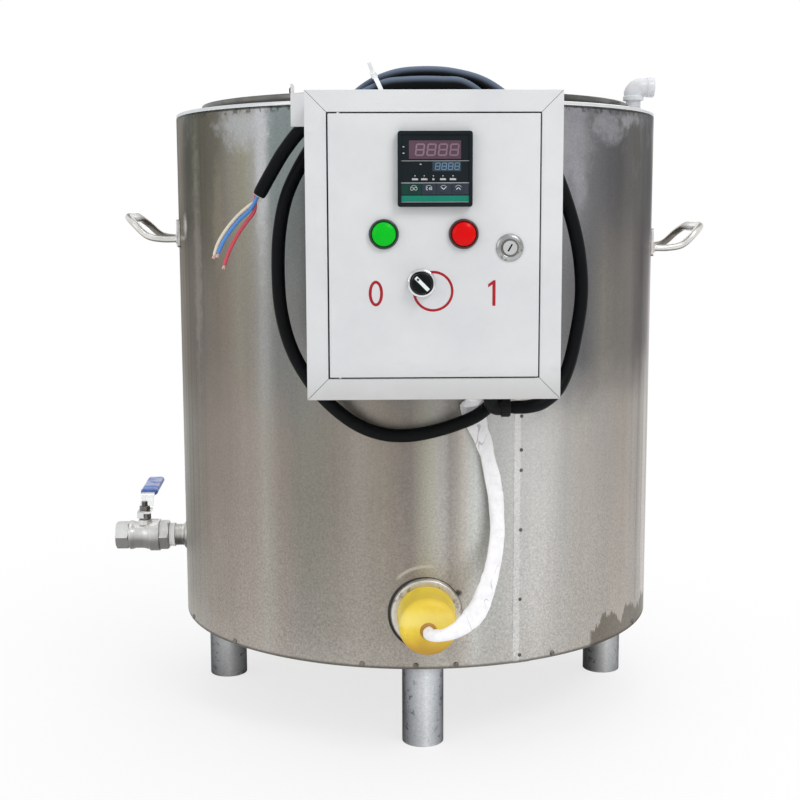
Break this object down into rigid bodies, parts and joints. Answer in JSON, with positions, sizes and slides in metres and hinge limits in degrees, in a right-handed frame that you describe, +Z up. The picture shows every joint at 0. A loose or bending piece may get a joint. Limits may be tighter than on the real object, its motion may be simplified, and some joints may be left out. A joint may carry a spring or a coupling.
{
  "type": "water jacketed melting tank",
  "caption": "Round steel double boiler on pipe legs, with a lift-off lid, drain ball valve, immersion heater, water inlet and a hinged control box with looped cord.",
  "frame": {"origin": "on the floor, in the middle of the box round the tank, valve, handles and control box", "axes": "+Z up, -Y to the control box at the front, -X to the drain valve on the left"},
  "size_m": [0.7582, 0.7586, 0.7739],
  "materials": {
    "shell_steel": "brushed, stained",
    "steel": "rolled sheet",
    "stained_steel": "stained tube",
    "zinc_steel": "zinc coated",
    "cast_steel": "cast, blasted",
    "chrome": "polished",
    "white_paint": "powder coated",
    "black_plastic": "moulded",
    "dark_window": "glossy",
    "grey_plastic": "moulded",
    "green_plastic": "glossy, translucent",
    "red_plastic": "glossy, translucent",
    "blue_plastic": "dipped",
    "white_plastic": "moulded",
    "yellow_rubber": "moulded",
    "black_rubber": "matte",
    "white_tape": "wound tape",
    "wool": "felted wool",
    "glass_sleeve": "wrapped glass cloth",
    "cream_plastic": "moulded"
  },
  "bodies": {
    "tank": {"outer_shell": "shell_steel", "top_ring": "steel", "floor_plate": "zinc_steel", "insulation_wrap": "wool", "water_jacket": "zinc_steel", "inner_pot": "steel", "leg_front": "stained_steel", "leg_right": "stained_steel", "leg_back": "stained_steel", "leg_left": "stained_steel", "handle_left": "cast_steel", "handle_right": "cast_steel", "drain_pipe": "steel", "thread_tape": "white_tape", "valve_body": "cast_steel", "valve_end": "cast_steel", "valve_seat_inner": "white_tape", "valve_seat_outer": "white_tape", "packing_nut": "cast_steel", "heater_socket": "zinc_steel", "heater_element": "steel", "heater_cap": "yellow_rubber", "inlet_stub": "white_plastic", "inlet_elbow": "white_plastic", "box_shell": "white_paint", "box_back": "white_paint", "upper_bracket": "white_paint", "lower_bracket": "white_paint", "mounting_plate": "zinc_steel", "contactor": "cream_plastic", "terminal_block": "grey_plastic", "hinge_rod": "steel", "cord_gland": "black_plastic", "lead_gland": "black_rubber", "heater_lead": "glass_sleeve", "power_cord": "black_rubber", "cord_conductors": "white_plastic", "cable_tie": "white_plastic"},
    "lid": {"lid_panel": "steel", "lid_knob": "black_plastic"},
    "door": {"door_panel": "white_paint", "controller_case": "black_plastic", "controller_front": "black_plastic", "display_window": "dark_window", "green_lamp_holder": "black_plastic", "green_lens": "green_plastic", "red_lamp_holder": "black_plastic", "red_lens": "red_plastic", "selector_collar": "chrome", "lock_housing": "chrome"},
    "selector": {"selector_knob": "black_plastic"},
    "lock": {"lock_plug": "steel"},
    "key_body_1": {"key_1": "green_plastic"},
    "key_body_2": {"key_2": "green_plastic"},
    "key_body_3": {"key_3": "green_plastic"},
    "key_body_4": {"key_4": "green_plastic"},
    "valve": {"valve_ball": "chrome", "valve_stem": "cast_steel", "valve_lever": "steel", "lever_sleeve": "blue_plastic"}
  },
  "joints": [
    {"name": "lid_lift", "type": "slide", "parent": "tank", "child": "lid", "axis": [0, 0, 1], "range_m": [0, 0.3]},
    {"name": "door_hinge", "type": "hinge", "parent": "tank", "child": "door", "pos_m": [-0.07372, -0.35752, 0.576], "axis": [0, 0, -1], "range_deg": [0, 110]},
    {"name": "lock_turn", "type": "hinge", "parent": "door", "child": "lock", "pos_m": [0.09229, -0.36273, 0.575], "axis": [0, -1, 0], "range_deg": [0, 90]},
    {"name": "selector_turn", "type": "hinge", "parent": "door", "child": "selector", "pos_m": [0.00628, -0.36273, 0.541], "axis": [0, 1, 0], "range_deg": [0, 90]},
    {"name": "valve_turn", "type": "hinge", "parent": "tank", "child": "valve", "pos_m": [-0.34181, 0.07927, 0.188], "axis": [0, 0, 1], "range_deg": [0, 90]},
    {"name": "key_press_1", "type": "slide", "parent": "door", "child": "key_body_1", "axis": [0, 1, 0], "range_m": [0, 0.0006], "stiffness_N_per_m": 300, "springref_m": -0.001},
    {"name": "key_press_2", "type": "slide", "parent": "door", "child": "key_body_2", "axis": [0, 1, 0], "range_m": [0, 0.0006], "stiffness_N_per_m": 300, "springref_m": -0.001},
    {"name": "key_press_3", "type": "slide", "parent": "door", "child": "key_body_3", "axis": [0, 1, 0], "range_m": [0, 0.0006], "stiffness_N_per_m": 300, "springref_m": -0.001},
    {"name": "key_press_4", "type": "slide", "parent": "door", "child": "key_body_4", "axis": [0, 1, 0], "range_m": [0, 0.0006], "stiffness_N_per_m": 300, "springref_m": -0.001}
  ]
}
